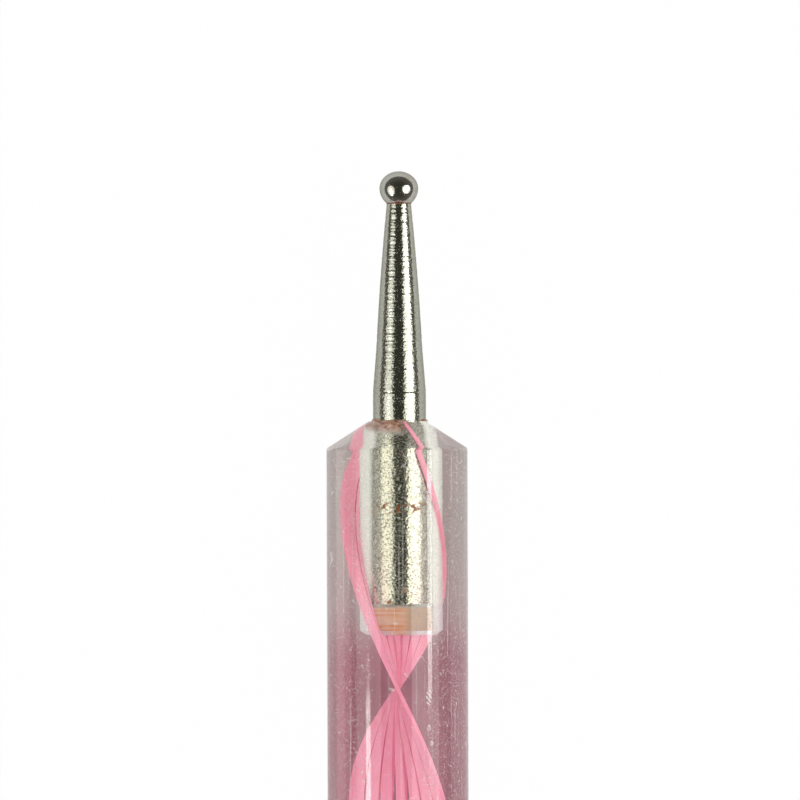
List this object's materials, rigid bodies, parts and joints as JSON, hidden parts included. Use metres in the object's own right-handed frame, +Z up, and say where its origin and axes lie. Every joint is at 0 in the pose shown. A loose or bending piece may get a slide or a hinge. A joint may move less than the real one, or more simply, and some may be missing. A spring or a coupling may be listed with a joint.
{
  "type": "embossing stylus",
  "caption": "Double-ended ball stylus: a clear cast rod with a twisted pink ribbon inside and a tapered steel tip with a polished ball at each end, for embossing and dotting.",
  "frame": {"origin": "under the middle of the tool's overall length, on the surface that the handle rests on", "axes": "+X along the tool towards the large ball, +Y to the side, +Z up from the surface"},
  "size_m": [0.1298, 0.008, 0.008],
  "materials": {
    "clear_acrylic": "clear cast acrylic with a faint mauve cast, polished, with fine handling scratches",
    "pink_ribbon": "opaque pink pearl strip, satin",
    "turned_steel": "nickel-plated steel with fine turning rings",
    "polished_steel": "mirror-polished nickel-plated steel",
    "braze": "darkened copper-brown braze",
    "glue": "cloudy amber glue with bubbles and rust staining"
  },
  "bodies": {
    "root": {"handle": "clear_acrylic", "ribbon_strand_1": "pink_ribbon", "ribbon_strand_2": "pink_ribbon", "ribbon_strand_3": "pink_ribbon", "ribbon_strand_4": "pink_ribbon", "ribbon_strand_5": "pink_ribbon", "ribbon_strand_6": "pink_ribbon", "ribbon_strand_7": "pink_ribbon", "large_shank": "turned_steel", "large_ball": "polished_steel", "large_braze": "braze", "large_adhesive": "glue", "small_shank": "turned_steel", "small_ball": "polished_steel", "small_braze": "braze", "small_adhesive": "glue"}
  },
  "joints": []
}
